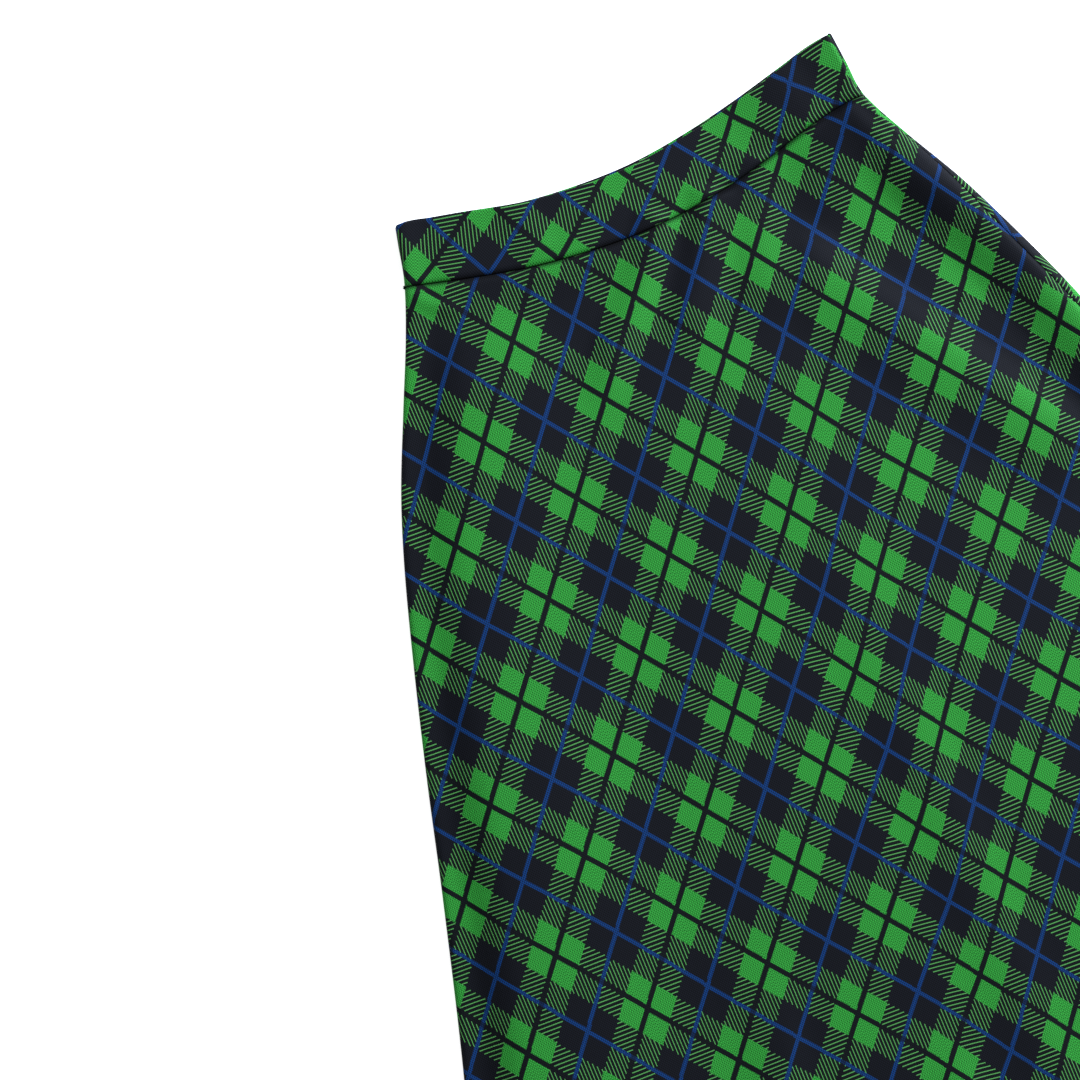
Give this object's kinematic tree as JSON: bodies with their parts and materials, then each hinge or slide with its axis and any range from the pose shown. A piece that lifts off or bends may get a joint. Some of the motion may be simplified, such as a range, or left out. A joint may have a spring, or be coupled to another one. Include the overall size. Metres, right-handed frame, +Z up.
{
  "type": "maxi skirt",
  "caption": "Long flared skirt of checked double-knit cloth with a shaped waistband, laid flat with its front over its back.",
  "frame": {"origin": "under the middle of the laid garment's box, on the surface it lies on", "axes": "+X across the garment to its right edge as seen from above, +Y up the garment towards the waist, +Z up from the surface"},
  "size_m": [0.9446, 0.984, 0.019],
  "materials": {
    "check_knit": "matte double-knit jacquard, green, navy and blue check"
  },
  "bodies": {
    "root": {"front_panel": "check_knit", "back_panel": "check_knit", "front_waistband": "check_knit", "back_waistband": "check_knit"}
  },
  "joints": []
}
